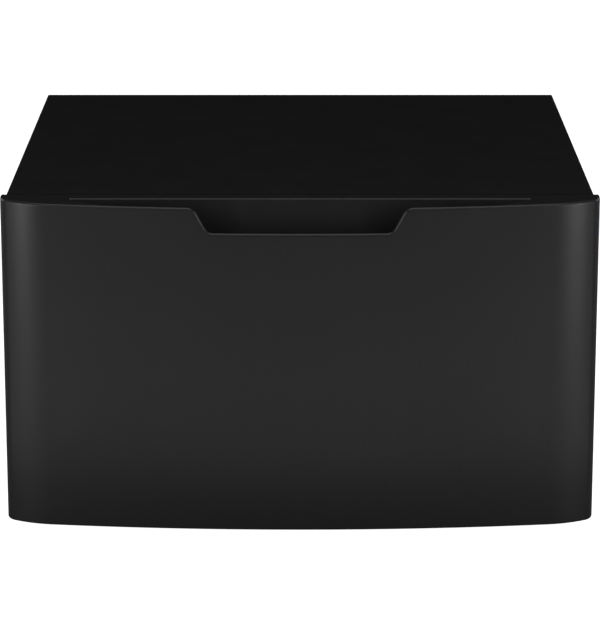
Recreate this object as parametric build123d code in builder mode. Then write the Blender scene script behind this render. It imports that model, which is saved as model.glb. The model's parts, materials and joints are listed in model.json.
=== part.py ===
from build123d import *
import os
from math import asin, cos, degrees, radians, sin, sqrt, tan

os.makedirs("parts", exist_ok=True)

# Laundry pedestal: a folded steel cabinet on four levelling legs, with one wide bowed drawer on ball slides.
# Millimetres. +Z is up, the drawer opens towards -Y, and the origin is on the floor under the middle.

# Cabinet
cabinet_width = 698.0
cabinet_depth = 612.0
cabinet_height = 409.5
sheet = 1.0
bend_radius = 2.0
front_flange = 21.0
deck_lip = 30.0
base_flange = 30.0
rear_flange = 18.0
rear_recess = 4.0

# Drawer front
front_overhang = 6.5
front_floor_gap = 8.0
front_gap = 2.0
front_wall = 4.0
front_edge_radius = 3.2
front_inner_radius = 0.6
bow_radius = 2335.0
shoulder_radius = 120.0
shoulder_span = 55.5
corner_span = 8.5
side_return = 7.0
top_slope = 4.7

# Handle notch and pocket
notch_width = 217.0
notch_side_run = 17.0
notch_depth = 30.0
notch_radius = 12.0
pocket_end_inset = 77.0
pocket_end_run = 48.0
pocket_end_land = 2.0
pocket_setback = 16.0
pocket_depth = 56.0
pocket_wall = 2.5
pocket_back_lean = 9.0
pocket_end_lean = 34.0
pocket_corner_radius = 1.5
pocket_rim_radius = 1.5
cap_thickness = 6.0

# Drawer box
drawer_rear_gap = 72.0
drawer_top_gap = 37.0
drawer_sheet = 1.0
drawer_rim = 9.0
drawer_flange = 12.0
drawer_clearance = 6.0
box_screw_inset_x = 100.0
box_screw_inset_z = 68.0

# Ball slides
slide_rear_inset = 30.0
slide_height = 45.0
slide_gauge = 1.2
slide_setback = 6.0
slide_rise = 95.0
slide_lip = 1.4
slide_open_side = 1.5
slide_overlap = 50.0
slide_screw_inset = 40.0
slide_screw_reach = 4.0
flange_clearance = 1.5
ball_radius = 2.4
ball_play = 0.05
balls_per_row = 8
cage_gauge = 0.6
cage_gap = 0.5
cage_margin = 12.5
cage_play = 0.1

# Release levers
lever_length = 50.0
lever_height = 9.0
lever_thickness = 4.0
lever_tail = 12.0
lever_from_front = 190.0
lever_side_gap = 0.6
pin_radius = 2.0
pin_head_radius = 3.5
pin_head_height = 0.6
pin_head_gap = 0.4
pin_play = 0.05

# Rails, brackets and stiffeners
rail_gauge = 1.2
rail_height = 40.0
rail_depth = 60.0
rail_top_depth = 25.0
slide_bracket_height = 60.0
slide_bracket_lip = 15.0
stiffener_gauge = 1.5
stiffener_crown = 50.0
stiffener_drop = 18.0
stiffener_flange = 28.0
stiffener_end_gap = 12.0
bolt_inset_x = 69.0
bolt_inset_y = 56.0
bolt_hole_radius = 3.5

# Levelling legs
leg_from_flange = 17.0
leg_inset_y = 36.0
leg_bracket_size = 48.0
leg_bracket_gauge = 3.0
stud_radius = 5.0
stud_length = 29.0
stud_hex = 14.0
stud_hex_height = 4.3
stud_neck_radius = 6.0
stud_disc_radius = 12.0
stud_disc_height = 4.0
foot_radius = 20.0
foot_top_radius = 17.0
foot_sole = 4.0
foot_lip = 1.8
swivel_play = 0.2
thread_play = 0.05
weld_nut_hex = 17.0
weld_nut_height = 8.0
lock_nut_hex = 16.0
lock_nut_height = 6.0

# Screws, bumpers, stiffening beads and general clearance
screw_radius = 1.9
screw_length = 8.0
screw_head_radius = 4.0
screw_head_height = 2.2
screw_slot_length = 4.4
screw_slot_width = 0.9
screw_slot_depth = 1.2
screw_hole_play = 0.1
boss_radius = 4.5
bumper_radius = 5.0
bumper_inset_z = 45.0
bead_width = 26.0
bead_height = 2.5
bead_taper = 30.0
bead_end_gap = 90.0
fit_gap = 0.3

# Places worked out from the sizes
half_width = cabinet_width / 2
inner_half = half_width - sheet
front_half = half_width + front_overhang
front_top = cabinet_height
front_height = front_top - front_floor_gap

bow_turn = asin((front_half - shoulder_span) / bow_radius)
shoulder_turn = asin(sin(bow_turn) + (shoulder_span - corner_span) / shoulder_radius)
corner_radius = corner_span / (1 - sin(shoulder_turn))
bow_depth = bow_radius * (1 - cos(bow_turn))
shoulder_depth = shoulder_radius * (cos(bow_turn) - cos(shoulder_turn))
corner_depth = corner_radius * cos(shoulder_turn)
front_depth = bow_depth + shoulder_depth + corner_depth + side_return

overall_depth = cabinet_depth + front_gap + front_depth
front_y = -overall_depth / 2
front_back_y = front_y + front_depth
cabinet_front_y = front_back_y + front_gap
cabinet_back_y = cabinet_front_y + cabinet_depth
rear_panel_y = cabinet_back_y - rear_recess
rear_flange_y = rear_panel_y - sheet

# Levelling leg, stacked from the floor up to the rail that stands on its lock nut
disc_bottom = foot_sole + swivel_play
disc_top = disc_bottom + stud_disc_height
foot_lip_bottom = disc_top + swivel_play
foot_top = foot_lip_bottom + foot_lip
hex_bottom = foot_top + swivel_play
hex_top = hex_bottom + stud_hex_height
lock_nut_bottom = hex_top + fit_gap
rail_bottom = lock_nut_bottom + lock_nut_height
rail_top = rail_bottom + rail_height
cabinet_floor_gap = rail_bottom - sheet
deck_under = cabinet_height - sheet

# Ball slide, stacked from the cabinet towards the drawer
outer_cage_u = slide_gauge + cage_gap
middle_u = outer_cage_u + cage_gauge + cage_gap
inner_cage_u = middle_u + slide_gauge + cage_gap
inner_u = inner_cage_u + cage_gauge + cage_gap
pin_top_u = inner_u + pin_head_gap
pin_seat_u = pin_top_u + pin_head_height
lever_near_u = pin_seat_u + fit_gap
lever_far_u = lever_near_u + lever_thickness
inner_web_u = lever_far_u + lever_side_gap
slide_thickness = inner_web_u + slide_gauge
slide_face = half_width - front_flange - flange_clearance
slide_front = cabinet_front_y + sheet + slide_setback

drawer_half = slide_face - slide_thickness
drawer_inner_half = drawer_half - drawer_sheet
drawer_bottom = rail_top + drawer_clearance
drawer_top = cabinet_height - deck_lip - drawer_top_gap
drawer_back_y = rear_flange_y - drawer_rear_gap
drawer_depth = drawer_back_y - front_back_y
drawer_mid_y = (front_back_y + drawer_back_y) / 2
slide_length = drawer_back_y - slide_front - slide_rear_inset
drawer_travel = slide_length - slide_overlap
slide_z = drawer_bottom + slide_rise

leg_x = half_width - base_flange - leg_from_flange
leg_front_y = cabinet_front_y + leg_inset_y
leg_back_y = rear_flange_y - leg_inset_y
leg_places = {
    "front_left": (-leg_x, leg_front_y),
    "front_right": (leg_x, leg_front_y),
    "rear_left": (-leg_x, leg_back_y),
    "rear_right": (leg_x, leg_back_y),
}
sides = {"left": -1, "right": 1}

TO_FRONT = (0, -1, 0)


def save(piece, name):
    """Label a finished piece and write it as its own file."""
    piece.label = name
    export_step(piece, f"parts/{name}.step")


def upright(y):
    """Upright plane across the pedestal at depth y: local x is X, local y is Z, normal to the front."""
    return Plane.XZ.offset(-y)


def block(x1, x2, z1, z2, mode=Mode.ADD):
    """Rectangle of the current sketch, between two corners."""
    with Locations(((x1 + x2) / 2, (z1 + z2) / 2)):
        Rectangle(abs(x2 - x1), abs(z2 - z1), mode=mode)


def drill(points, direction, radius, depth):
    """Round holes through the current part, centred on the points along a direction."""
    for point in points:
        with Locations(Plane(origin=point, z_dir=direction)):
            Cylinder(radius, depth, mode=Mode.SUBTRACT)


def drill_screws(points, direction):
    """Clearance holes for screws that are driven along a direction."""
    drill(points, direction, screw_radius + screw_hole_play, 2 * screw_length)


def pan_screws(points, direction, length):
    """Cross recess pan head screws driven along a direction, the underside of each head at a point."""
    on_seat = (Align.CENTER, Align.CENTER, Align.MIN)
    under_top = (Align.CENTER, Align.CENTER, Align.MAX)
    away = Vector(*direction) * -1
    with BuildPart() as group:
        for point in points:
            with Locations(Plane(origin=point, z_dir=direction)):
                Cylinder(screw_radius, length, align=on_seat)
            with Locations(Plane(origin=point, z_dir=away)):
                Cylinder(screw_head_radius, screw_head_height, align=on_seat)
            top = Vector(*point) + away * screw_head_height
            with Locations(Plane(origin=top, z_dir=away)):
                for turn in (0, 90):
                    Box(screw_slot_length, screw_slot_width, screw_slot_depth, rotation=(0, 0, turn),
                        align=under_top, mode=Mode.SUBTRACT)
    return group.part


# Centres of the arcs of the drawer front, for its right half
bow_y = front_y + bow_radius
shoulder_x = (bow_radius - shoulder_radius) * sin(bow_turn)
shoulder_y = bow_y - (bow_radius - shoulder_radius) * cos(bow_turn)
corner_x = shoulder_x + (shoulder_radius - corner_radius) * sin(shoulder_turn)
corner_y = shoulder_y - (shoulder_radius - corner_radius) * cos(shoulder_turn)


def front_outline(inset, past_back=0.0):
    """Plan of the drawer front, drawn inset from its outer face: a wide bow, two shoulders, two corners."""
    bow_angle = degrees(bow_turn)
    shoulder_angle = degrees(shoulder_turn)
    shoulder_sweep = shoulder_angle - bow_angle
    side_x = front_half - inset
    back_y = front_back_y + past_back
    with BuildSketch() as plan:
        with BuildLine():
            CenterArc((0, bow_y), bow_radius - inset, -90, bow_angle)
            CenterArc((shoulder_x, shoulder_y), shoulder_radius - inset, bow_angle - 90, shoulder_sweep)
            CenterArc((corner_x, corner_y), corner_radius - inset, shoulder_angle - 90, 90 - shoulder_angle)
            Line((side_x, corner_y), (side_x, back_y))
            mirror(about=Plane.YZ)
            Line((side_x, back_y), (-side_x, back_y))
        make_face()
    return plan.sketch


def front_face_y(x):
    """Depth of the outer face of the drawer front at x, on its bow or on a shoulder."""
    from_middle = abs(x)
    if from_middle <= front_half - shoulder_span:
        return bow_y - sqrt(bow_radius**2 - from_middle**2)
    return shoulder_y - sqrt(shoulder_radius**2 - (from_middle - shoulder_x) ** 2)


# Screw places
rear_screw_x = half_width - (sheet + rear_flange) / 2
rear_screw_z = cabinet_height - (sheet + rear_flange) / 2
rear_screws_per_side = 4
rear_screws_on_top = 3
rear_side_pitch = (rear_screw_z - rail_top) / rear_screws_per_side
rear_top_pitch = rear_screw_x / 2
rear_screw_points = []
for row in range(rear_screws_per_side):
    z = rail_top + (row + 0.5) * rear_side_pitch
    rear_screw_points += [(-rear_screw_x, rear_panel_y, z), (rear_screw_x, rear_panel_y, z)]
for column in range(rear_screws_on_top):
    rear_screw_points.append(((column - 1) * rear_top_pitch, rear_panel_y, rear_screw_z))

boss_x = drawer_half - 2 * boss_radius
boss_inner_x = boss_x / 3
boss_low_z = (front_floor_gap + rail_top) / 2
boss_high_z = drawer_top + 2 * boss_radius
backing_screw_points = [(x, front_back_y, boss_low_z) for x in (-boss_x, -boss_inner_x, boss_inner_x, boss_x)]
backing_screw_points += [(x, front_back_y, boss_high_z) for x in (-boss_x, boss_x)]

box_screw_y = front_back_y + drawer_sheet
box_screw_points = []
box_screw_x = drawer_half - box_screw_inset_x
for x in (-box_screw_x, 0, box_screw_x):
    for z in (drawer_bottom + box_screw_inset_z, drawer_top - box_screw_inset_z):
        box_screw_points.append((x, box_screw_y, z))

slide_back = slide_front + slide_length
slide_mid_y = (slide_front + slide_back) / 2
slide_screw_ys = (slide_front + slide_screw_inset, slide_mid_y, slide_back - slide_screw_inset)
slide_screw_length = drawer_sheet + slide_gauge + slide_screw_reach


def slide_screw_points(side):
    """Seats of the slide screws on the inner face of a drawer side."""
    return [(side * drawer_inner_half, y, slide_z) for y in slide_screw_ys]


bolt_x = half_width - bolt_inset_x
bolt_front_y = cabinet_front_y + bolt_inset_y
bolt_back_y = cabinet_back_y - bolt_inset_y
bolt_points = [(x, y, deck_under) for x in (-bolt_x, bolt_x) for y in (bolt_front_y, bolt_back_y)]


# Cabinet wrap: deck and sides folded from one sheet, with flanges at the front, the rear and the bottom
def wrap_outline(inset):
    """Section of the wrap across the pedestal, drawn inset from its outer face."""
    with BuildSketch() as outline:
        block(inset - half_width, half_width - inset, cabinet_floor_gap + inset, cabinet_height - inset)
        fillet(outline.vertices().group_by(Axis.Y)[-1], bend_radius - inset)
    return outline.sketch


with BuildPart() as cabinet_wrap:
    with BuildSketch(upright(cabinet_front_y)):
        add(wrap_outline(0))
        add(wrap_outline(sheet), mode=Mode.SUBTRACT)
        base_half = half_width - base_flange
        block(-base_half, base_half, cabinet_floor_gap, rail_bottom, mode=Mode.SUBTRACT)
    extrude(amount=-cabinet_depth)
    with BuildSketch(upright(cabinet_front_y)):
        add(wrap_outline(0))
        opening_half = half_width - front_flange
        block(-opening_half, opening_half, cabinet_floor_gap, cabinet_height - deck_lip, mode=Mode.SUBTRACT)
    extrude(amount=-sheet)
    with BuildSketch(upright(rear_flange_y)):
        add(wrap_outline(0))
        rear_half = half_width - rear_flange
        block(-rear_half, rear_half, cabinet_floor_gap, cabinet_height - rear_flange, mode=Mode.SUBTRACT)
    extrude(amount=sheet)
    drill(bolt_points, (0, 0, 1), bolt_hole_radius, 4 * sheet)
    drill_screws(rear_screw_points, TO_FRONT)
save(cabinet_wrap.part, "cabinet_wrap")

# Rear panel: a flat sheet with three pressed beads, set in from the rear edge of the wrap
bead_length = 2 * (half_width - bead_end_gap)
bead_pitch = (cabinet_height - cabinet_floor_gap) / 4
bead_rows = [(0, cabinet_floor_gap + row * bead_pitch) for row in (1, 2, 3)]
with BuildPart() as rear_panel:
    with BuildSketch(upright(rear_panel_y)):
        panel_half = inner_half - fit_gap
        block(-panel_half, panel_half, rail_bottom + fit_gap, deck_under - bend_radius)
    extrude(amount=sheet)
    with BuildSketch(upright(rear_panel_y)):
        with Locations(*bead_rows):
            SlotOverall(bead_length, bead_width)
    extrude(amount=-bead_height, taper=bead_taper)
    with BuildSketch(upright(rear_flange_y)):
        with Locations(*bead_rows):
            SlotOverall(bead_length - 2 * sheet, bead_width - 2 * sheet)
    extrude(amount=-bead_height, taper=bead_taper, mode=Mode.SUBTRACT)
    drill_screws(rear_screw_points, TO_FRONT)
save(rear_panel.part, "rear_panel")
save(pan_screws(rear_screw_points, TO_FRONT, screw_length), "rear_panel_screws")


# Base rails: channels across the front and the rear of the base, open towards the middle
def base_rail(web_y, inward, feet_y):
    """Channel with its web at web_y, flanges reaching inward (+1 is towards the rear), and two leg holes."""
    rail_half = inner_half - fit_gap
    with BuildPart() as rail:
        with BuildSketch(Plane.YZ):
            block(web_y, web_y + inward * rail_gauge, rail_bottom, rail_top)
            block(web_y, web_y + inward * rail_depth, rail_bottom, rail_bottom + rail_gauge)
            block(web_y, web_y + inward * rail_top_depth, rail_top - rail_gauge, rail_top)
        extrude(amount=rail_half, both=True)
        feet = [(-leg_x, feet_y, rail_bottom), (leg_x, feet_y, rail_bottom)]
        drill(feet, (0, 0, 1), stud_radius + fit_gap, 4 * rail_gauge)
    return rail.part


save(base_rail(cabinet_front_y + sheet, 1, leg_front_y), "base_front_rail")
save(base_rail(rear_flange_y - sheet, -1, leg_back_y), "base_rear_rail")


# Deck stiffeners: hat channels under the deck, drilled for the appliance's bolts
def deck_stiffener(bolt_y, inward):
    """Hat channel whose outer flange carries the bolts at bolt_y; its crown lies inward of them."""
    near = bolt_y - inward * stiffener_flange / 2
    crown_near = near + inward * stiffener_flange
    crown_far = crown_near + inward * stiffener_crown
    far = crown_far + inward * stiffener_flange
    flange_under = deck_under - stiffener_gauge
    crown_under = deck_under - stiffener_drop
    with BuildPart() as stiffener:
        with BuildSketch(Plane.YZ):
            block(near, crown_near, flange_under, deck_under)
            block(crown_far, far, flange_under, deck_under)
            block(crown_near, crown_near - inward * stiffener_gauge, crown_under, deck_under)
            block(crown_far, crown_far + inward * stiffener_gauge, crown_under, deck_under)
            block(crown_near - inward * stiffener_gauge, crown_far + inward * stiffener_gauge,
                  crown_under, crown_under + stiffener_gauge)
        extrude(amount=inner_half - stiffener_end_gap, both=True)
        drill(bolt_points, (0, 0, 1), bolt_hole_radius, 4 * stiffener_gauge)
    return stiffener.part


save(deck_stiffener(bolt_front_y, 1), "deck_front_stiffener")
save(deck_stiffener(bolt_back_y, -1), "deck_rear_stiffener")

# Leg brackets, weld nuts on top of them and lock nuts under the rails
leg_bracket_bottom = rail_bottom + rail_gauge
leg_bracket_top = leg_bracket_bottom + leg_bracket_gauge
leg_points = list(leg_places.values())
with BuildPart() as leg_brackets:
    with BuildSketch(Plane.XY.offset(leg_bracket_bottom)):
        with Locations(*leg_points):
            Rectangle(leg_bracket_size, leg_bracket_size)
            Circle(stud_radius + fit_gap, mode=Mode.SUBTRACT)
    extrude(amount=leg_bracket_gauge)
save(leg_brackets.part, "leg_brackets")


def hex_nuts(bottom, height, across_flats):
    """One hexagon nut at each leg."""
    with BuildPart() as nuts:
        with BuildSketch(Plane.XY.offset(bottom)):
            with Locations(*leg_points):
                RegularPolygon(across_flats / 2, 6, major_radius=False)
                Circle(stud_radius + thread_play, mode=Mode.SUBTRACT)
        extrude(amount=height)
    return nuts.part


save(hex_nuts(leg_bracket_top, weld_nut_height, weld_nut_hex), "leg_weld_nuts")
save(hex_nuts(lock_nut_bottom, lock_nut_height, lock_nut_hex), "leg_lock_nuts")

# Levelling legs: a rubber foot with a captive swivel disc, and the threaded stud that stands in it
for place, (x, y) in leg_places.items():
    neck_x = x + stud_neck_radius + fit_gap
    disc_x = x + stud_disc_radius + fit_gap
    with BuildPart() as foot:
        with BuildSketch(Plane.XZ.offset(-y)):
            with BuildLine():
                Polyline((x, 0), (x + foot_radius, 0), (x + foot_radius, foot_sole),
                         (x + foot_top_radius, foot_top), (neck_x, foot_top), (neck_x, foot_lip_bottom),
                         (disc_x, foot_lip_bottom), (disc_x, foot_sole), (x, foot_sole), close=True)
            make_face()
        revolve(axis=Axis((x, y, 0), (0, 0, 1)))
    save(foot.part, f"foot_{place}")

    with BuildPart() as stud:
        with BuildSketch(Plane.XY.offset(disc_bottom)):
            with Locations((x, y)):
                Circle(stud_disc_radius)
        extrude(amount=stud_disc_height)
        with BuildSketch(Plane.XY.offset(disc_top)):
            with Locations((x, y)):
                Circle(stud_neck_radius)
        extrude(amount=hex_bottom - disc_top)
        with BuildSketch(Plane.XY.offset(hex_bottom)):
            with Locations((x, y)):
                RegularPolygon(stud_hex / 2, 6, major_radius=False)
        extrude(amount=stud_hex_height)
        with BuildSketch(Plane.XY.offset(hex_top)):
            with Locations((x, y)):
                Circle(stud_radius)
        extrude(amount=stud_length)
        chamfer(stud.faces().sort_by(Axis.Z)[-1].edges(), stud_radius / 5)
    save(stud.part, f"stud_{place}")

# Rubber bumpers on the front flanges, where the drawer front closes
bumper_x = half_width - front_flange / 2
bumper_low_z = drawer_bottom + bumper_inset_z
bumper_high_z = drawer_top - bumper_inset_z
with BuildPart() as front_bumpers:
    with BuildSketch(upright(cabinet_front_y)):
        with Locations((-bumper_x, bumper_low_z), (bumper_x, bumper_low_z),
                       (-bumper_x, bumper_high_z), (bumper_x, bumper_high_z)):
            Circle(bumper_radius)
    extrude(amount=front_gap - fit_gap)
save(front_bumpers.part, "front_bumpers")

# Drawer front panel: one moulded tray, open at the top and the back, with the notch in its top edge
top_plane = Plane(origin=(0, front_back_y, front_top), x_dir=(1, 0, 0),
                  z_dir=(0, -sin(radians(top_slope)), cos(radians(top_slope))))
front_edge_z = front_top - front_depth * tan(radians(top_slope))
notch_bottom_z = front_edge_z - notch_depth
notch_cut_top = front_top + notch_radius
notch_half = notch_width / 2
notch_cut_half = notch_half + notch_side_run / notch_depth * (notch_cut_top - notch_bottom_z)
outer_outline = front_outline(0).face().outer_wire()
inner_outline = front_outline(front_wall, past_back=front_gap).face().outer_wire()


def rim_edges(panel, outline):
    """Long edges around the panel's top and notch that lie straight above an outline."""
    def above_outline(edge):
        middle = edge.position_at(0.5)
        from_outline = outline.distance_to(Vertex(middle.X, middle.Y, 0))
        return middle.Z > notch_bottom_z - front_wall and from_outline < front_wall / 8

    return panel.edges().filter_by(lambda edge: edge.length > 2 * front_wall and above_outline(edge))


with BuildPart() as drawer_front_panel:
    with BuildSketch(Plane.XY.offset(front_floor_gap)):
        add(front_outline(0))
    extrude(amount=front_height)
    fillet(drawer_front_panel.faces().sort_by(Axis.Z)[0].edges().sort_by(Axis.Y)[:-1], front_edge_radius)
    with BuildSketch(Plane.XY.offset(front_floor_gap + front_wall)):
        add(front_outline(front_wall, past_back=front_gap))
    extrude(amount=front_height, mode=Mode.SUBTRACT)
    split(bisect_by=top_plane, keep=Keep.BOTTOM)
    with BuildSketch(upright(front_y - front_wall)) as notch:
        with BuildLine():
            Polyline((-notch_cut_half, notch_cut_top), (-notch_half, notch_bottom_z),
                     (notch_half, notch_bottom_z), (notch_cut_half, notch_cut_top), close=True)
        make_face()
        fillet(notch.vertices().group_by(Axis.Y)[0], notch_radius)
    extrude(amount=-front_depth, mode=Mode.SUBTRACT)
    notch_shoulders = drawer_front_panel.edges().filter_by(
        lambda edge: edge.center().Z > notch_bottom_z + notch_depth / 2
        and edge.length < 2 * front_wall
        and abs(edge.center().X) < notch_cut_half
    )
    fillet(notch_shoulders, notch_radius)
    fillet(rim_edges(drawer_front_panel, outer_outline), front_edge_radius)
    fillet(rim_edges(drawer_front_panel, inner_outline), front_inner_radius)
    for x, y, z in backing_screw_points:
        boss_end_y = front_face_y(x) + front_wall / 2
        with BuildSketch(upright(front_back_y - sheet)):
            with Locations((x, z)):
                Circle(boss_radius)
        extrude(amount=front_back_y - sheet - boss_end_y)
    drill_screws(backing_screw_points, TO_FRONT)
save(drawer_front_panel.part, "drawer_front_panel")

# Handle pocket: the cap that closes the top of the front, with a long scoop whose front is the panel itself
pocket_back_half = front_half - pocket_end_inset
pocket_back_y = front_back_y - pocket_setback
pocket_front_y = front_face_y(pocket_back_half - pocket_end_run) + front_wall
pocket_land_y = pocket_front_y + pocket_end_land
pocket_end_slant = pocket_end_run / (pocket_back_y - pocket_front_y)


def pocket_section(depth, wall=0.0):
    """Plan of the scoop at a depth below the top of the front, or of the wall around it."""
    back_y = pocket_back_y - depth * tan(radians(pocket_back_lean))
    back_half = pocket_back_half - depth * tan(radians(pocket_end_lean))
    land_half = back_half - pocket_end_slant * (back_y - pocket_land_y)
    past_front_y = front_y - front_wall
    with BuildSketch(Plane.XY.offset(front_top - depth)) as plan:
        with BuildLine():
            Polyline((-back_half, back_y), (back_half, back_y),
                     (land_half, pocket_land_y), (land_half, past_front_y),
                     (-land_half, past_front_y), (-land_half, pocket_land_y), close=True)
        make_face()
        fillet(plan.vertices().filter_by(lambda corner: corner.Y > front_y), pocket_corner_radius)
        if wall:
            offset(amount=wall)
    return plan.sketch


with BuildPart() as handle_pocket:
    loft([pocket_section(0, pocket_wall), pocket_section(pocket_depth + pocket_wall, pocket_wall)])
    with BuildSketch(Plane.XY.offset(front_top - cap_thickness)):
        add(front_outline(front_wall + fit_gap))
    extrude(amount=cap_thickness)
    with BuildSketch(Plane.XY.offset(front_floor_gap)):
        add(front_outline(front_wall + fit_gap))
    extrude(amount=front_height, mode=Mode.INTERSECT)
    loft([pocket_section(-cap_thickness), pocket_section(pocket_depth)], mode=Mode.SUBTRACT)
    split(bisect_by=top_plane.offset(-fit_gap), keep=Keep.BOTTOM)
    pocket_rim = handle_pocket.faces().sort_by(Axis.Z)[-1].edges().filter_by(
        lambda edge: edge.center().Y < front_back_y - pocket_setback / 2
        and abs(edge.center().X) < pocket_back_half
        and edge.center().Y > front_face_y(edge.center().X) + front_wall + 2 * fit_gap
    )
    fillet(pocket_rim, pocket_rim_radius)
save(handle_pocket.part, "handle_pocket")

# Backing plate behind the front panel
with BuildPart() as drawer_front_backing:
    backing_half = front_half - front_wall - fit_gap
    backing_bottom = front_floor_gap + front_wall + fit_gap
    backing_top = front_top - cap_thickness - fit_gap
    with BuildSketch(upright(front_back_y)):
        block(-backing_half, backing_half, backing_bottom, backing_top)
    extrude(amount=sheet)
    drill_screws(backing_screw_points, TO_FRONT)
    drill_screws(box_screw_points, TO_FRONT)
save(drawer_front_backing.part, "drawer_front_backing")
save(pan_screws(backing_screw_points, TO_FRONT, screw_length), "drawer_front_screws")

# Drawer box: two sides with a rim and a foot, a front wall and a back wall between them, and a ribbed floor
drawer_floor_under = drawer_bottom + drawer_sheet
drawer_floor_top = drawer_floor_under + drawer_sheet
rim_half = drawer_half + drawer_rim
foot_half = drawer_half - drawer_flange
for name, side in sides.items():
    with BuildPart() as drawer_side:
        with BuildSketch(upright(front_back_y)):
            block(side * drawer_inner_half, side * drawer_half, drawer_bottom, drawer_top)
            block(side * drawer_inner_half, side * rim_half, drawer_top - drawer_sheet, drawer_top)
            block(side * foot_half, side * drawer_half, drawer_bottom, drawer_floor_under)
        extrude(amount=-drawer_depth)
        drill_screws(slide_screw_points(side), (side, 0, 0))
    save(drawer_side.part, f"drawer_{name}_side")


def drawer_end(outer_y, inward, screw_points):
    """Wall across the drawer, its outer face at outer_y, with side flanges reaching inward and a rim."""
    with BuildPart() as wall:
        with BuildSketch(Plane.XY.offset(drawer_floor_under)):
            block(-drawer_inner_half, drawer_inner_half, outer_y, outer_y + inward * drawer_sheet)
        extrude(amount=drawer_top - drawer_floor_under)
        with BuildSketch(Plane.XY.offset(drawer_floor_top)):
            for side in sides.values():
                block(side * drawer_inner_half, side * (drawer_inner_half - drawer_sheet),
                      outer_y, outer_y + inward * drawer_flange)
        extrude(amount=drawer_top - drawer_rim - drawer_floor_top)
        with BuildSketch(Plane.XY.offset(drawer_top - drawer_sheet)):
            block(-drawer_inner_half, drawer_inner_half, outer_y, outer_y + drawer_rim)
            block(-drawer_inner_half, drawer_inner_half, outer_y, outer_y + inward * drawer_sheet)
        extrude(amount=drawer_sheet)
        drill_screws(screw_points, TO_FRONT)
    return wall.part


save(drawer_end(front_back_y, 1, box_screw_points), "drawer_front_wall")
save(drawer_end(drawer_back_y, -1, []), "drawer_back_wall")

floor_bead_length = drawer_depth - bead_end_gap
floor_bead_pitch = drawer_half / 2
floor_beads = [(column * floor_bead_pitch, drawer_mid_y) for column in (-1, 0, 1)]
with BuildPart() as drawer_floor:
    floor_gap = drawer_sheet + fit_gap
    floor_half = drawer_inner_half - fit_gap
    with BuildSketch(Plane.XY.offset(drawer_floor_under)):
        block(-floor_half, floor_half, front_back_y + floor_gap, drawer_back_y - floor_gap)
    extrude(amount=drawer_sheet)
    with BuildSketch(Plane.XY.offset(drawer_floor_top)):
        with Locations(*floor_beads):
            SlotOverall(floor_bead_length, bead_width, rotation=90)
    extrude(amount=bead_height, taper=bead_taper)
    with BuildSketch(Plane.XY.offset(drawer_floor_under)):
        with Locations(*floor_beads):
            SlotOverall(floor_bead_length - 2 * drawer_sheet, bead_width - 2 * drawer_sheet, rotation=90)
    extrude(amount=bead_height, taper=bead_taper, mode=Mode.SUBTRACT)
save(drawer_floor.part, "drawer_floor")
save(pan_screws(box_screw_points, TO_FRONT, screw_length), "drawer_box_screws")

# Ball slides: across a slide, u runs from the cabinet towards the drawer and v is the height from its middle
open_u = slide_thickness - slide_open_side
outer_ball_u = (middle_u + open_u) / 2
inner_ball_u = inner_u + ball_radius
outer_race = slide_height / 2 - slide_gauge
outer_ball_v = outer_race - ball_play - ball_radius
middle_top = outer_ball_v - ball_radius - ball_play
middle_race = middle_top - slide_gauge
inner_ball_v = middle_race - ball_play - ball_radius
inner_top = inner_ball_v - ball_radius - ball_play
inner_race = inner_top - slide_gauge
cage_length = slide_length - drawer_travel / 2 - 2 * cage_margin
cage_front = slide_front + drawer_travel / 4 + cage_margin
ball_pitch = cage_length / balls_per_row


def slide_bar(side, u1, u2, v1, v2):
    """Bar of a slide's section, and its mirror image below the middle."""
    for flip in (-1, 1):
        block(side * (slide_face - u1), side * (slide_face - u2), slide_z + flip * v1, slide_z + flip * v2)


def slide_ball_points(side, u, v):
    """Ball centres of one cage: a row above the middle and a row below it."""
    x = side * (slide_face - u)
    steps = [cage_front + (count + 0.5) * ball_pitch for count in range(balls_per_row)]
    return [(x, y, slide_z + flip * v) for y in steps for flip in (-1, 1)]


def ball_cage(side, web_u, ball_u, ball_v):
    """Thin channel that holds the balls of one pair of races in round holes."""
    inside = ball_v - cage_gauge / 2
    outside = ball_v + cage_gauge / 2
    with BuildPart() as cage:
        with BuildSketch(upright(cage_front)):
            slide_bar(side, web_u, web_u + cage_gauge, 0, outside)
            slide_bar(side, web_u, ball_u + ball_radius + cage_gauge, inside, outside)
        extrude(amount=-cage_length)
        drill(slide_ball_points(side, ball_u, ball_v), (0, 0, 1), ball_radius + cage_play, 4 * cage_gauge)
    return cage.part


def ball_set(side, ball_u, ball_v):
    """The balls of one cage."""
    with BuildPart() as balls:
        with Locations(*slide_ball_points(side, ball_u, ball_v)):
            Sphere(ball_radius)
    return balls.part


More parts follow.
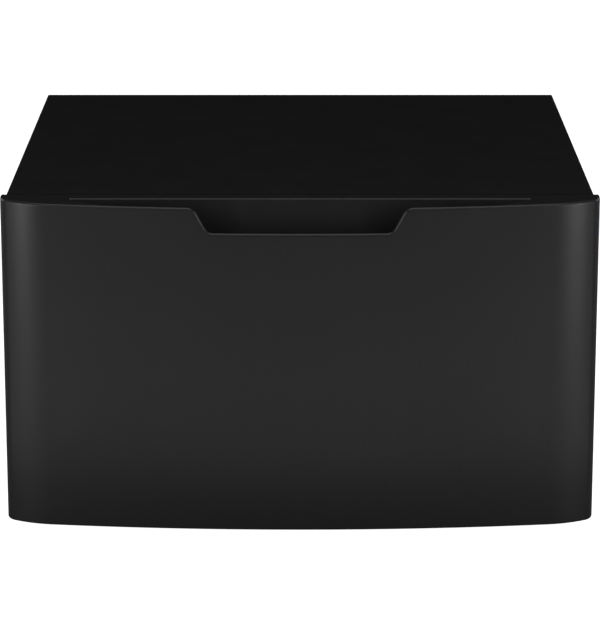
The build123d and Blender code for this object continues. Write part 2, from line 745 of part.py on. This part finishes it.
lever_y = slide_front + lever_from_front
for name, side in sides.items():
    with BuildPart() as outer_member:
        with BuildSketch(upright(slide_front)):
            slide_bar(side, 0, slide_gauge, 0, slide_height / 2)
            slide_bar(side, 0, open_u, outer_race, slide_height / 2)
            slide_bar(side, open_u - slide_gauge, open_u, outer_race - slide_lip, slide_height / 2)
        extrude(amount=-slide_length)
    save(outer_member.part, f"{name}_slide_outer")

    with BuildPart() as middle_member:
        with BuildSketch(upright(slide_front)):
            slide_bar(side, middle_u, middle_u + slide_gauge, 0, middle_top)
            slide_bar(side, middle_u, open_u, middle_race, middle_top)
        extrude(amount=-slide_length)
    save(middle_member.part, f"{name}_slide_middle")

    with BuildPart() as inner_member:
        with BuildSketch(upright(slide_front)):
            slide_bar(side, inner_web_u, slide_thickness, 0, inner_top)
            slide_bar(side, inner_u, slide_thickness, inner_race, inner_top)
        extrude(amount=-slide_length)
        drill_screws(slide_screw_points(side), (side, 0, 0))
    save(inner_member.part, f"{name}_slide_inner")

    save(ball_cage(side, outer_cage_u, outer_ball_u, outer_ball_v), f"{name}_outer_cage")
    save(ball_cage(side, inner_cage_u, inner_ball_u, inner_ball_v), f"{name}_inner_cage")
    save(ball_set(side, outer_ball_u, outer_ball_v), f"{name}_outer_balls")
    save(ball_set(side, inner_ball_u, inner_ball_v), f"{name}_inner_balls")
    save(pan_screws(slide_screw_points(side), (side, 0, 0), slide_screw_length), f"{name}_slide_screws")

    # Bracket that stands the slide off the cabinet's side, clear of the front flange
    bracket_half = slide_bracket_height / 2
    lip_half = bracket_half + slide_bracket_lip
    wall_u = slide_face - inner_half
    with BuildPart() as slide_bracket:
        with BuildSketch(upright(slide_front)):
            slide_bar(side, -rail_gauge, 0, 0, bracket_half)
            slide_bar(side, wall_u, 0, bracket_half - rail_gauge, bracket_half)
            slide_bar(side, wall_u, wall_u + rail_gauge, bracket_half - rail_gauge, lip_half)
        extrude(amount=-slide_length)
    save(slide_bracket.part, f"{name}_slide_bracket")

    # Release lever in the channel of the inner member, and the headed pin that it turns on
    near_x = side * (slide_face - lever_near_u)
    far_x = side * (slide_face - lever_far_u)
    lever_start_x = min(near_x, far_x)
    with BuildPart() as lever:
        with BuildSketch(Plane.YZ.offset(lever_start_x)):
            with Locations((lever_y + lever_tail - lever_length / 2, slide_z)):
                SlotOverall(lever_length, lever_height)
            with Locations((lever_y, slide_z)):
                Circle(pin_radius + pin_play, mode=Mode.SUBTRACT)
        extrude(amount=lever_thickness)
    save(lever.part, f"{name}_release_lever")

    pin_place = Plane(origin=(side * (slide_face - inner_web_u), lever_y, slide_z), z_dir=(side, 0, 0))
    with BuildPart() as lever_pin:
        with BuildSketch(pin_place):
            Circle(pin_radius)
        extrude(amount=inner_web_u - pin_seat_u)
        with BuildSketch(pin_place.offset(inner_web_u - pin_seat_u)):
            Circle(pin_head_radius)
        extrude(amount=pin_head_height)
    save(lever_pin.part, f"{name}_lever_pin")
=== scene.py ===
import json
import math

import bmesh
import bpy
from mathutils import Matrix, Vector


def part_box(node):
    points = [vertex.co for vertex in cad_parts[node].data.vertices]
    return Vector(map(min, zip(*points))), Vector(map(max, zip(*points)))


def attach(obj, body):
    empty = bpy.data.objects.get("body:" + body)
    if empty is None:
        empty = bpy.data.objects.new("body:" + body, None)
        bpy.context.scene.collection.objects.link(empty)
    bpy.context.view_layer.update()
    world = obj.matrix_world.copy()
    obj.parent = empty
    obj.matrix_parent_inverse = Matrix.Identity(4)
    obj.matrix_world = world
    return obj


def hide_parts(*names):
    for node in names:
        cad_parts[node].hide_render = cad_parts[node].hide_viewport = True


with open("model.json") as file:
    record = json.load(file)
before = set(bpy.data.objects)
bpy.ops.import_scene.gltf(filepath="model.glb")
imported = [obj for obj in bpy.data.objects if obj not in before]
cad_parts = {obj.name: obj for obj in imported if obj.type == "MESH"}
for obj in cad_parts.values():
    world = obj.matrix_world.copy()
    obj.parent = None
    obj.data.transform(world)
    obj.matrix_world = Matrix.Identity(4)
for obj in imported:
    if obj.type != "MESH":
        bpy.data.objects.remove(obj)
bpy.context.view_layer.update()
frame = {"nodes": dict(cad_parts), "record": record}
scene = bpy.context.scene
scene.view_settings.view_transform = "Standard"


# Node helpers

# Ranges that the noise and the greys of the cells mostly stay within
NOISE_RANGE = (0.25, 0.75)
CELL_RANGE = (0.1, 0.9)
EVEN = (1.0, 1.0, 1.0)


class Shader:
    """One material with a Principled surface, and short calls for the nodes that the finishes share."""

    def __init__(self, name, **surface):
        self.material = bpy.data.materials.new(name)
        self.material.use_nodes = True
        self.tree = self.material.node_tree
        self.surface = self.tree.nodes["Principled BSDF"]
        self.place = self.add("ShaderNodeTexCoord").outputs["Object"]
        for socket, value in surface.items():
            self.surface.inputs[socket.replace("_", " ")].default_value = value

    def add(self, kind, **settings):
        """New node of a kind, with its settings."""
        node = self.tree.nodes.new(kind)
        for name, value in settings.items():
            setattr(node, name, value)
        return node

    def join(self, output, socket):
        """Link from the output of a node to the input of another."""
        self.tree.links.new(output, socket)

    def noise(self, size, detail=2.0, stretch=EVEN):
        """Soft noise with features of about the given size in metres, stretched along the axes."""
        scaled = self.add("ShaderNodeMapping")
        scaled.inputs["Scale"].default_value = [1 / (size * factor) for factor in stretch]
        self.join(self.place, scaled.inputs["Vector"])
        noise = self.add("ShaderNodeTexNoise")
        noise.inputs["Scale"].default_value = 1.0
        noise.inputs["Detail"].default_value = detail
        self.join(scaled.outputs["Vector"], noise.inputs["Vector"])
        return noise.outputs["Fac"]

    def cells(self, size):
        """A random grey for each cell of about the given size in metres."""
        cells = self.add("ShaderNodeTexVoronoi")
        cells.inputs["Scale"].default_value = 1 / size
        self.join(self.place, cells.inputs["Vector"])
        grey = self.add("ShaderNodeRGBToBW")
        self.join(cells.outputs["Color"], grey.inputs["Color"])
        return grey.outputs["Val"]

    def spread(self, value, low, high, within=NOISE_RANGE):
        """A value that lies within a range, mapped to run from low to high."""
        mapped = self.add("ShaderNodeMapRange")
        mapped.inputs["From Min"].default_value, mapped.inputs["From Max"].default_value = within
        mapped.inputs["To Min"].default_value = low
        mapped.inputs["To Max"].default_value = high
        self.join(value, mapped.inputs["Value"])
        return mapped.outputs["Result"]

    def tint(self, color, *shades):
        """Base colour, multiplied by each of the shades."""
        total = shades[0]
        for shade in shades[1:]:
            product = self.add("ShaderNodeMath", operation="MULTIPLY")
            self.join(total, product.inputs[0])
            self.join(shade, product.inputs[1])
            total = product.outputs["Value"]
        scaled = self.add("ShaderNodeVectorMath", operation="SCALE")
        scaled.inputs[0].default_value = color
        self.join(total, scaled.inputs["Scale"])
        self.join(scaled.outputs["Vector"], self.surface.inputs["Base Color"])

    def rough(self, value, roughness, change):
        """Roughness that follows a noise value, by a change up and down."""
        varied = self.spread(value, roughness - change, roughness + change)
        self.join(varied, self.surface.inputs["Roughness"])

    def bump(self, *layers):
        """Surface relief from layers of (height, strength, depth in metres)."""
        normal = None
        for height, strength, depth in layers:
            bump = self.add("ShaderNodeBump")
            bump.inputs["Strength"].default_value = strength
            bump.inputs["Distance"].default_value = depth
            self.join(height, bump.inputs["Height"])
            if normal:
                self.join(normal, bump.inputs["Normal"])
            normal = bump.outputs["Normal"]
        self.join(normal, self.surface.inputs["Normal"])


# Finishes, one for each material slot of the record

def paint(name, color, roughness, flake, peel):
    """Baked paint: fine flake in the colour, orange peel in the surface, slow drifts of tone and gloss."""
    tone_size, tone_drift = 0.12, 0.04
    gloss_size, gloss_drift = 0.05, 0.02
    peel_size, peel_strength = 0.0028, 0.06
    flake_size, flake_strength = 0.0007, 0.05
    shader = Shader(name)
    tone = shader.spread(shader.noise(tone_size, 3.0), 1 - tone_drift, 1 + tone_drift)
    sparkle = shader.spread(shader.cells(flake_size), 1 - flake, 1 + flake, CELL_RANGE)
    shader.tint(color, tone, sparkle)
    shader.rough(shader.noise(gloss_size, 4.0), roughness, gloss_drift)
    shader.bump((shader.noise(peel_size, 1.0), peel_strength, peel),
                (shader.noise(flake_size, 1.0), flake_strength, peel / 4))
    return shader.material


def moulding(name, color, roughness, grain, cloud=0.04, **surface):
    """Moulded plastic or rubber: a fine spark-eroded grain and slightly cloudy gloss."""
    tone_size, tone_drift = 0.03, 0.06
    speck_size, speck_drift = 0.0009, 0.05
    cloud_size = 0.02
    fine_size, fine_strength = 0.0008, 0.2
    coarse_size, coarse_strength = 0.003, 0.1
    shader = Shader(name, **surface)
    tone = shader.spread(shader.noise(tone_size, 3.0), 1 - tone_drift, 1 + tone_drift)
    specks = shader.spread(shader.noise(speck_size), 1 - speck_drift, 1 + speck_drift)
    shader.tint(color, tone, specks)
    shader.rough(shader.noise(cloud_size, 4.0), roughness, cloud)
    shader.bump((shader.noise(fine_size), fine_strength, grain),
                (shader.noise(coarse_size), coarse_strength, grain))
    return shader.material


def plated(name, color, roughness, spangle, contrast=1.0, drawn=(1.0, 40.0, 1.0)):
    """Plated sheet or wire: crystal spangle of the zinc, drawing lines along the length, cloudy gloss."""
    darker, lighter, cloud = 0.14 * contrast, 0.08 * contrast, 0.07 * contrast
    line_width, line_strength, line_depth = 0.0006, 0.12, 0.0002
    line_dark, line_light = 0.93, 1.05
    shader = Shader(name, Metallic=1.0)
    crystals = shader.spread(shader.cells(spangle), 1 - darker, 1 + lighter, CELL_RANGE)
    lines = shader.noise(line_width, 2.0, drawn)
    shader.tint(color, crystals, shader.spread(lines, line_dark, line_light))
    shader.rough(shader.noise(spangle * 2, 3.0), roughness, cloud)
    shader.bump((lines, line_strength, line_depth))
    return shader.material


finishes = {
    "front_paint": paint("front_paint", (0.018, 0.018, 0.018), roughness=0.34, flake=0.25, peel=0.0004),
    "cabinet_paint": paint("cabinet_paint", (0.008, 0.008, 0.008), roughness=0.45, flake=0.1, peel=0.0006),
    "pocket_plastic": moulding("pocket_plastic", (0.010, 0.010, 0.010), roughness=0.38, grain=0.0002,
                               cloud=0.012, Specular_IOR_Level=0.8),
    "drawer_paint": paint("drawer_paint", (0.085, 0.087, 0.091), roughness=0.45, flake=0.05, peel=0.0006),
    "galvanised_steel": plated("galvanised_steel", (0.50, 0.51, 0.52), roughness=0.42, spangle=0.009),
    "slide_zinc": plated("slide_zinc", (0.62, 0.63, 0.65), roughness=0.3, spangle=0.004, contrast=0.35),
    "ball_steel": plated("ball_steel", (0.78, 0.78, 0.79), roughness=0.16, spangle=0.001, drawn=EVEN),
    "fastener_steel": plated("fastener_steel", (0.48, 0.48, 0.5), roughness=0.34, spangle=0.0015,
                             drawn=EVEN),
    "rubber": moulding("rubber", (0.018, 0.018, 0.018), roughness=0.75, grain=0.0003),
    "lever_plastic": moulding("lever_plastic", (0.018, 0.018, 0.019), roughness=0.5, grain=0.0002),
}
slot_of = {part["node"]: part["material_slot"] for part in frame["record"]["subparts"]}
for node, slot in slot_of.items():
    frame["nodes"][node].material_slots[0].material = finishes[slot]


# Shapes made of rings: the rings and their profiles are in millimetres

MM = 0.001
STEPS = 48
ANGLES = [2 * math.pi * step / STEPS for step in range(STEPS)]
SAME_POINT = MM / 1000
SHARP_ANGLE = math.radians(35)
body_of = {node: body for body, nodes in frame["record"]["behaviour"]["bodies"].items() for node in nodes}


class Skin:
    """Points and faces of one mesh, in metres."""

    def __init__(self):
        self.points = []
        self.faces = []

    def add(self, rings, place, direction=(0, 0, 1), closed=False):
        """Rings that are joined along a direction; the ends are capped, or meet if closed."""
        turn = Vector(direction).to_track_quat("Z", "Y").to_matrix().to_4x4()
        to_place = Matrix.Translation(place) @ turn
        first = len(self.points)
        for row in rings:
            self.points.extend(to_place @ (Vector(point) * MM) for point in row)
        starts = [first + row * STEPS for row in range(len(rings))]
        pairs = list(zip(starts, starts[1:]))
        if closed:
            pairs.append((starts[-1], starts[0]))
        else:
            self.faces.append([starts[0] + step for step in reversed(range(STEPS))])
            self.faces.append([starts[-1] + step for step in range(STEPS)])
        for low, high in pairs:
            for step in range(STEPS):
                after = (step + 1) % STEPS
                self.faces.append([low + step, low + after, high + after, high + step])

    def stand_for(self, node):
        """Make the piece, with the node's finish and on the node's body, in place of the node."""
        mesh = bpy.data.meshes.new(f"{node}_detail")
        mesh.from_pydata(self.points, [], self.faces)
        mesh.materials.append(finishes[slot_of[node]])
        mesh.shade_smooth()
        mesh.set_sharp_from_angle(angle=SHARP_ANGLE)
        piece = bpy.data.objects.new(f"{node}_detail", mesh)
        scene.collection.objects.link(piece)
        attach(piece, body_of[node])
        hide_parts(node)
        return piece


def ring(radius, height):
    """Ring of points about the local z axis; the radius and the height may each depend on the angle."""
    def value(size, angle):
        return size(angle) if callable(size) else size

    points = []
    for angle in ANGLES:
        reach = value(radius, angle)
        points.append((reach * math.cos(angle), reach * math.sin(angle), value(height, angle)))
    return points


def turned(*profile):
    """Rings of a turned profile of (radius, height) pairs."""
    return [ring(radius, height) for radius, height in profile]


def hexagon(across_flats, low, high):
    """Rings of a hexagon with its corners turned off at 30 degrees at both ends, to a round face."""
    flat = across_flats / 2
    face = 0.95 * flat
    slope = math.tan(math.radians(30))
    side = math.pi / 3

    def corner(angle):
        return flat / math.cos(angle % side - side / 2)

    def cut(angle):
        return (corner(angle) - face) * slope

    return [ring(face, low), ring(corner, lambda angle: low + cut(angle)),
            ring(corner, lambda angle: high - cut(angle)), ring(face, high)]


def thread(major, pitch, low, high):
    """Rings of a right-hand metric thread that starts above a plain neck and ends in a chamfer."""
    rows_per_turn = 8
    root, crest = 1 / 4, 1 / 8
    flank = 1 - root - crest
    depth = 0.6134 * pitch
    minor = major - depth
    rows = math.ceil((high - low) / (pitch / rows_per_turn))
    rings = []
    for row in range(rows + 1):
        height = low + (high - low) * row / rows
        above_neck = max(0.0, height - low - pitch / 2)
        limit = minor + max(0.0, min(above_neck, high - height))

        def radius(angle, height=height, limit=limit):
            phase = (height / pitch - angle / (2 * math.pi)) % 1
            rise = (abs(2 * phase - 1) - root) / flank
            return min(minor + depth * min(max(rise, 0.0), 1.0), limit)

        rings.append(ring(radius, height))
    return rings


HEAD_HEIGHT = 2.2


def pan_screw(length):
    """Rings of a pan head screw: grooved, pointed shank below zero and domed head with a cross recess."""
    shank, core, pitch = 1.9, 1.45, 1.4
    tip, tip_length, neck_length, neck_end = 0.3, 1.5, 1.0, 0.4
    head, rim_height, rim_edge, roundness = 4.0, 0.7, 0.15, 2.6
    wing, slot, recess, recess_slope = 2.2, 0.55, 1.3, 3.5
    dome_radii = (3.85, 3.5, 3.0, 2.6, 2.3, 2.05, 1.8, 1.55, 1.3, 1.1, 0.9, 0.7, 0.5, 0.3, 0.1)
    profile = [(tip, -length), (core, tip_length - length)]
    for turn in range(int((length - tip_length - neck_length) / pitch)):
        height = tip_length - length + turn * pitch
        profile += [(shank, height + pitch / 2), (core, height + pitch)]
    profile += [(shank, -neck_end), (shank, 0.0)]
    profile += [(head - rim_edge, 0.0), (head, rim_edge), (head, rim_height)]
    rings = turned(*profile)
    for radius in dome_radii:
        dome = rim_height + (HEAD_HEIGHT - rim_height) * (1 - (radius / head) ** roundness)

        def height(angle, radius=radius, dome=dome):
            x, y = abs(radius * math.cos(angle)), abs(radius * math.sin(angle))
            inside = max(min(wing - x, slot - y), min(wing - y, slot - x), 0.0)
            return dome - min(recess, recess_slope * inside)

        rings.append(ring(radius, height))
    return rings


def welded(node):
    """Surface of a CAD node with its facets joined at the points that they share."""
    shape = bmesh.new()
    shape.from_mesh(frame["nodes"][node].data)
    bmesh.ops.remove_doubles(shape, verts=shape.verts, dist=SAME_POINT)
    return shape


def islands(node):
    """Lowest and highest corner of each separate solid of a CAD node."""
    shape = welded(node)
    waiting = set(shape.verts)
    boxes = []
    while waiting:
        found = [waiting.pop()]
        for vert in found:
            linked = {edge.other_vert(vert) for edge in vert.link_edges} & waiting
            waiting -= linked
            found.extend(linked)
        corners = list(zip(*(vert.co for vert in found)))
        boxes.append((Vector(map(min, corners)), Vector(map(max, corners))))
    shape.free()
    return sorted(boxes, key=lambda box: tuple(box[0]))


def base_of(low, high):
    """Middle of the bottom of a box."""
    return ((low.x + high.x) / 2, (low.y + high.y) / 2, low.z)


# Screws, each group with the way that its heads face

screw_heads = {
    "rear_panel_screws": (0, 1, 0),
    "drawer_front_screws": (0, 1, 0),
    "drawer_box_screws": (0, 1, 0),
    "left_slide_screws": (1, 0, 0),
    "right_slide_screws": (-1, 0, 0),
}
for node, away in screw_heads.items():
    screws = Skin()
    for low, high in islands(node):
        reach = abs((high - low).dot(Vector(away)))
        seat = (low + high) / 2 + Vector(away) * (reach / 2 - HEAD_HEIGHT * MM)
        screws.add(pan_screw(reach / MM - HEAD_HEIGHT), seat, away)
    screws.stand_for(node)


# Levelling legs: threaded stud with a base plate and a hexagon, and a rubber foot with a ringed tread

stud_flats, stud_hex_low, stud_hex_high = 14.0, 6.2, 10.5
stud_radius, stud_pitch = 5.0, 1.5
stud_plate = [(11.4, 0.0), (12.0, 0.6), (12.0, 3.4), (11.4, 4.0)]
stud_neck = [(6.5, 4.0), (6.0, 4.5), (6.0, stud_hex_low)]
tread_inner = [(4.0, 0.8), (4.6, 0.0), (8.2, 0.0), (8.8, 0.8)]
tread_outer = [(9.6, 0.8), (10.2, 0.0), (13.4, 0.0), (14.0, 0.8)]
foot_rim = [(14.8, 0.8), (15.4, 0.0), (18.9, 0.0), (19.6, 0.3), (20.0, 1.0), (20.0, 3.2), (19.7, 4.0)]
foot_crown = [(17.4, 9.4), (16.9, 10.0), (16.3, 10.2), (6.8, 10.2), (6.3, 9.8)]
foot_socket = [(6.3, 8.4), (12.3, 8.4), (12.3, 4.0)]
for place in ("front_left", "front_right", "rear_left", "rear_right"):
    low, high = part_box(f"stud_{place}")
    stud = Skin()
    stud.add(turned(*stud_plate, *stud_neck) + hexagon(stud_flats, stud_hex_low, stud_hex_high)
             + thread(stud_radius, stud_pitch, stud_hex_high, (high.z - low.z) / MM), base_of(low, high))
    stud.stand_for(f"stud_{place}")

    low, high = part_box(f"foot_{place}")
    foot = Skin()
    foot.add(turned(*tread_inner, *tread_outer, *foot_rim, *foot_crown, *foot_socket), base_of(low, high))
    foot.stand_for(f"foot_{place}")


# Lock nuts and bumpers

nut_flats, nut_bore, nut_bevel_radius, nut_bevel = 16.0, 5.05, 5.6, 0.6
lock_nuts = Skin()
for low, high in islands("leg_lock_nuts"):
    height = (high.z - low.z) / MM
    lower_bevel = turned((nut_bore, nut_bevel), (nut_bevel_radius, 0.0))
    upper_bevel = turned((nut_bevel_radius, height), (nut_bore, height - nut_bevel))
    rings = lower_bevel + hexagon(nut_flats, 0.0, height) + upper_bevel
    lock_nuts.add(rings, base_of(low, high), closed=True)
lock_nuts.stand_for("leg_lock_nuts")

bumper_dome = [(5.0, 0.0), (5.0, 0.5), (4.7, 0.9), (4.0, 1.3), (2.6, 1.6), (1.0, 1.7)]
bumpers = Skin()
for low, high in islands("front_bumpers"):
    back = ((low.x + high.x) / 2, high.y, (low.z + high.z) / 2)
    bumpers.add(turned(*bumper_dome), back, (0, -1, 0))
bumpers.stand_for("front_bumpers")


# Drawer front and balls, their facets joined so that the bow, the rims and each ball shade as one skin

ball_nodes = [f"{side}_{row}_balls" for side in ("left", "right") for row in ("outer", "inner")]
for node in ("drawer_front_panel", *ball_nodes):
    surface = welded(node)
    surface.verts.index_update()
    joined = Skin()
    joined.points = [vert.co.copy() for vert in surface.verts]
    joined.faces = [[vert.index for vert in face.verts] for face in surface.faces]
    surface.free()
    even_normals = joined.stand_for(node).modifiers.new("even_normals", "WEIGHTED_NORMAL")
    even_normals.keep_sharp = True


# Stage: a pale floor for the camera, with a painted shadow below the cabinet, and a darker floor for the
# reflections

def glow_with_painted_shadow(shader, low, high):
    """Make a floor glow, except below a footprint given by two corners, where it fades to dark in a
    painted shadow.
    """
    shadow_fade = (0.75, 1.0)
    middle = (low + high) / 2
    half = (high - low) / 2
    place = shader.add("ShaderNodeMapping")
    place.inputs["Location"].default_value = (-middle.x / half.x, -middle.y / half.y, 0)
    place.inputs["Scale"].default_value = (1 / half.x, 1 / half.y, 1)
    shader.join(shader.place, place.inputs["Vector"])
    away = shader.add("ShaderNodeVectorMath", operation="ABSOLUTE")
    shader.join(place.outputs["Vector"], away.inputs[0])
    split = shader.add("ShaderNodeSeparateXYZ")
    shader.join(away.outputs["Vector"], split.inputs["Vector"])
    further = shader.add("ShaderNodeMath", operation="MAXIMUM")
    shader.join(split.outputs["X"], further.inputs[0])
    shader.join(split.outputs["Y"], further.inputs[1])
    shader.surface.inputs["Emission Color"].default_value = (1, 1, 1, 1)
    # Painted shadow: the glow fades to dark below the footprint
    glow_over_painted_shadow = shader.spread(further.outputs["Value"], 0.0, 1.0, shadow_fade)
    shader.join(glow_over_painted_shadow, shader.surface.inputs["Emission Strength"])


def floor(name, grey):
    """Large flat square of floor that can be seen through from below, and its finish."""
    half = 30.0
    mesh = bpy.data.meshes.new(name)
    corners = [(-half, -half, 0), (half, -half, 0), (half, half, 0), (-half, half, 0)]
    mesh.from_pydata(corners, [], [(0, 1, 2, 3)])
    shader = Shader(name, Roughness=0.9, Specular_IOR_Level=0.1)
    shader.surface.inputs["Base Color"].default_value = (grey, grey, grey, 1)
    clear = shader.add("ShaderNodeBsdfTransparent")
    mix = shader.add("ShaderNodeMixShader")
    shader.join(shader.add("ShaderNodeNewGeometry").outputs["Backfacing"], mix.inputs["Fac"])
    shader.join(shader.surface.outputs["BSDF"], mix.inputs[1])
    shader.join(clear.outputs["BSDF"], mix.inputs[2])
    shader.join(mix.outputs["Shader"], shader.tree.nodes["Material Output"].inputs["Surface"])
    mesh.materials.append(shader.material)
    plane = bpy.data.objects.new(name, mesh)
    scene.collection.objects.link(plane)
    return plane, shader


shown_floor, shown_finish = floor("shown_floor", 0.9)
shown_floor.visible_diffuse = False
shown_floor.visible_glossy = False
cabinet_low, cabinet_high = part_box("cabinet_wrap")
# The camera sees this much of the floor below the front, which stays pale there, in front of the painted
# shadow
seen_below_front = Vector((0, 0.035, 0))
# Painted shadow on the shown floor below the cabinet's footprint
glow_with_painted_shadow(shown_finish, cabinet_low + seen_below_front, cabinet_high)
dark_floor, _ = floor("dark_floor", 0.25)
dark_floor.visible_camera = False
dark_floor.visible_shadow = False


# Lights: soft boxes above and beside, and glowing cards on the floor that the front reflects

CARD_RISE = 0.01
STRIP_TURN = 47.0


def area_light(name, place, turn, size, power):
    """Rectangular light with its size given along its own x and y, hidden from the camera."""
    light = bpy.data.lights.new(name, "AREA")
    light.shape = "RECTANGLE"
    light.size, light.size_y = size
    light.energy = power
    lamp = bpy.data.objects.new(name, light)
    lamp.location = place
    lamp.rotation_euler = turn
    lamp.visible_camera = False
    scene.collection.objects.link(lamp)


def soft_box(name, place, aim, size, power):
    """Studio light that faces a point."""
    turn = (Vector(aim) - Vector(place)).to_track_quat("-Z", "Y").to_euler()
    area_light(name, place, turn, size, power)


def floor_card(name, place, size, power, turn=0.0):
    """Glowing card that lies on the floor and faces up, turned about the upright by some degrees."""
    area_light(name, (*place, CARD_RISE), (math.pi, 0, math.radians(turn)), size, power)


soft_box("rear_top_light", (0, 0.4, 3.2), (0, 0.4, 0.4), size=(2.4, 1.6), power=12.5)
soft_box("front_top_light", (0, -1.6, 3.2), (0, -1.6, 0.4), size=(2.4, 2.4), power=17.1)
floor_card("near_card", (0, -0.66), size=(2.4, 0.24), power=0.52)
floor_card("middle_card", (0, -0.93), size=(2.4, 0.3), power=0.95)
floor_card("far_card", (0, -1.5), size=(2.4, 0.8), power=1.45)
floor_card("rear_card", (0, 1.1), size=(2.0, 0.7), power=5)
floor_card("under_card", (0, 0.05), size=(0.5, 0.4), power=0.5)
for name, side in (("left", -1), ("right", 1)):
    front_corner = (side * 0.33, -0.3, 0.3)
    cabinet_side = (side * 0.35, 0.1, 0.2)
    turn = side * STRIP_TURN
    soft_box(f"{name}_low_light", (side * 1.79, -1.674, 0.5), front_corner, size=(0.6, 0.9), power=10.9)
    soft_box(f"{name}_high_light", (side * 1.6, -2.1, 1.5), front_corner, size=(0.6, 1.2), power=4.5)
    soft_box(f"{name}_rear_light", (side * 2.3, 0.8, 0.95), cabinet_side, size=(2.0, 1.6), power=12)
    floor_card(f"{name}_near_strip", (side * 0.64, -0.6), size=(0.45, 0.4), power=0.2, turn=turn)
    floor_card(f"{name}_far_strip", (side * 0.95, -0.88), size=(0.5, 0.45), power=0.235, turn=turn)


# Surroundings: white where the camera sees them, almost dark for the light that they give

ambient_grey = 0.003
world = bpy.data.worlds.new("studio")
world.use_nodes = True
scene.world = world
nodes = world.node_tree.nodes
links = world.node_tree.links
ambient = nodes["Background"]
ambient.inputs["Color"].default_value = (ambient_grey, ambient_grey, ambient_grey, 1)
backdrop = nodes.new("ShaderNodeBackground")
backdrop.inputs["Color"].default_value = (1, 1, 1, 1)
choice = nodes.new("ShaderNodeMixShader")
links.new(nodes.new("ShaderNodeLightPath").outputs["Is Camera Ray"], choice.inputs["Fac"])
links.new(ambient.outputs["Background"], choice.inputs[1])
links.new(backdrop.outputs["Background"], choice.inputs[2])
links.new(choice.outputs["Shader"], nodes["World Output"].inputs["Surface"])


# Camera at the photograph's view

image_long_side = 625
focal_pixels = 3004
camera_place = (0, -3.7554, 1.2087)
camera_pitch = 15.1975
camera = bpy.data.objects.new("camera", bpy.data.cameras.new("camera"))
camera.data.sensor_width = 36.0
camera.data.lens = focal_pixels / image_long_side * camera.data.sensor_width
camera.data.clip_end = 100
camera.location = camera_place
camera.rotation_euler = (math.radians(90 - camera_pitch), 0, 0)
scene.collection.objects.link(camera)
scene.camera = camera
